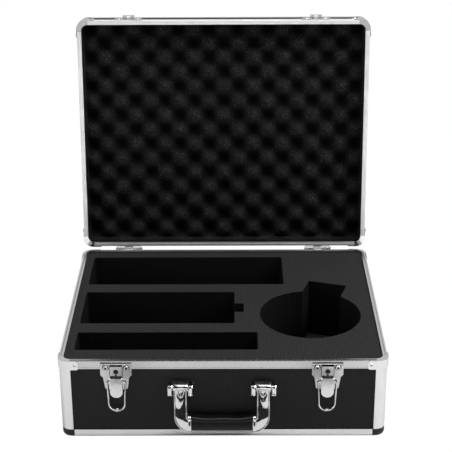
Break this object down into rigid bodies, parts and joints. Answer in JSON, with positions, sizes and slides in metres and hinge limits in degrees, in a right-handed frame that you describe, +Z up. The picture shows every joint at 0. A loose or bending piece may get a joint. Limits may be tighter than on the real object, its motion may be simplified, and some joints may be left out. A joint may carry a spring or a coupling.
{
  "type": "flight case",
  "caption": "Aluminium framed flight case, standing open: black laminated boards, chrome corners, draw latches, bail handle, pocketed foam insert and convoluted lid foam.",
  "frame": {"origin": "on the underside of the front edge rail, halfway along it", "axes": "+X to the right seen from the front, -Y out of the front with the latches and handle, +Z up"},
  "size_m": [0.4644, 0.482, 0.501],
  "materials": {
    "laminate": "black laminate with a fine raised grain",
    "aluminium": "satin anodised extrusion",
    "chrome": "bright plated sheet, wire and castings",
    "black_plastic": "black moulded plastic",
    "insert_foam": "firm dark grey closed foam",
    "crate_foam": "soft black open foam",
    "grip_rubber": "black moulded rubber",
    "lock_metal": "dark turned steel"
  },
  "bodies": {
    "case": {"base_board_bottom": "laminate", "base_board_front": "laminate", "base_board_back": "laminate", "base_board_left": "laminate", "base_board_right": "laminate", "base_post_front_left": "aluminium", "base_post_front_right": "aluminium", "base_post_back_right": "aluminium", "base_post_back_left": "aluminium", "base_rim_rail_front": "aluminium", "base_rim_rail_back": "aluminium", "base_rim_rail_left": "aluminium", "base_rim_rail_right": "aluminium", "base_edge_frame": "aluminium", "base_foot_front_left": "black_plastic", "base_foot_front_right": "black_plastic", "base_foot_back_right": "black_plastic", "base_foot_back_left": "black_plastic", "base_rim_corner_front_left": "chrome", "base_rim_corner_front_right": "chrome", "base_rim_corner_back_right": "chrome", "base_rim_corner_back_left": "chrome", "base_foam_insert": "insert_foam", "base_foam_pad": "insert_foam", "latch_plate_left": "chrome", "handle_bracket_left": "chrome", "hinge_base_leaf_left": "chrome", "hinge_pin_left": "chrome", "latch_plate_right": "chrome", "handle_bracket_right": "chrome", "hinge_base_leaf_right": "chrome", "hinge_pin_right": "chrome"},
    "lid": {"lid_board_top": "laminate", "lid_board_front": "laminate", "lid_board_back": "laminate", "lid_board_left": "laminate", "lid_board_right": "laminate", "lid_edge_frame": "aluminium", "lid_rim_frame": "aluminium", "lid_cap_front_left": "black_plastic", "lid_cap_front_right": "black_plastic", "lid_cap_back_right": "black_plastic", "lid_cap_back_left": "black_plastic", "lid_rim_corner_front_left": "chrome", "lid_rim_corner_front_right": "chrome", "lid_rim_corner_back_right": "chrome", "lid_rim_corner_back_left": "chrome", "lid_crate_foam": "crate_foam", "lid_keeper_left": "chrome", "hinge_lid_leaf_left": "chrome", "lid_keeper_right": "chrome", "hinge_lid_leaf_right": "chrome"},
    "handle": {"handle_bow": "chrome", "handle_grip": "grip_rubber"},
    "lever_left": {"latch_lever_left": "chrome"},
    "bail_left": {"latch_bail_left": "chrome"},
    "lock_left": {"lock_barrel_left": "lock_metal"},
    "lever_right": {"latch_lever_right": "chrome"},
    "bail_right": {"latch_bail_right": "chrome"},
    "lock_right": {"lock_barrel_right": "lock_metal"}
  },
  "joints": [
    {"name": "lid_hinge", "type": "hinge", "parent": "case", "child": "lid", "pos_m": [0, 0.3652, 0.1242], "axis": [-1, 0, 0], "range_deg": [-97, 0]},
    {"name": "handle_swing", "type": "hinge", "parent": "case", "child": "handle", "pos_m": [0, -0.017, 0.0865], "axis": [-1, 0, 0], "range_deg": [0, 95]},
    {"name": "lever_left", "type": "hinge", "parent": "case", "child": "lever_left", "pos_m": [-0.14918, -0.0134, 0.0972], "axis": [1, 0, 0], "range_deg": [-90, 0]},
    {"name": "bail_left", "type": "hinge", "parent": "lever_left", "child": "bail_left", "pos_m": [-0.14918, -0.0131, 0.0926], "axis": [-1, 0, 0], "range_deg": [0, 178]},
    {"name": "lock_left", "type": "hinge", "parent": "case", "child": "lock_left", "pos_m": [-0.14918, -0.0122, 0.1093], "axis": [0, 1, 0], "range_deg": [0, 90]},
    {"name": "lever_right", "type": "hinge", "parent": "case", "child": "lever_right", "pos_m": [0.14558, -0.0134, 0.0972], "axis": [1, 0, 0], "range_deg": [-90, 0]},
    {"name": "bail_right", "type": "hinge", "parent": "lever_right", "child": "bail_right", "pos_m": [0.14558, -0.0131, 0.0926], "axis": [-1, 0, 0], "range_deg": [0, 178]},
    {"name": "lock_right", "type": "hinge", "parent": "case", "child": "lock_right", "pos_m": [0.14558, -0.0122, 0.1093], "axis": [0, 1, 0], "range_deg": [0, 90]}
  ]
}
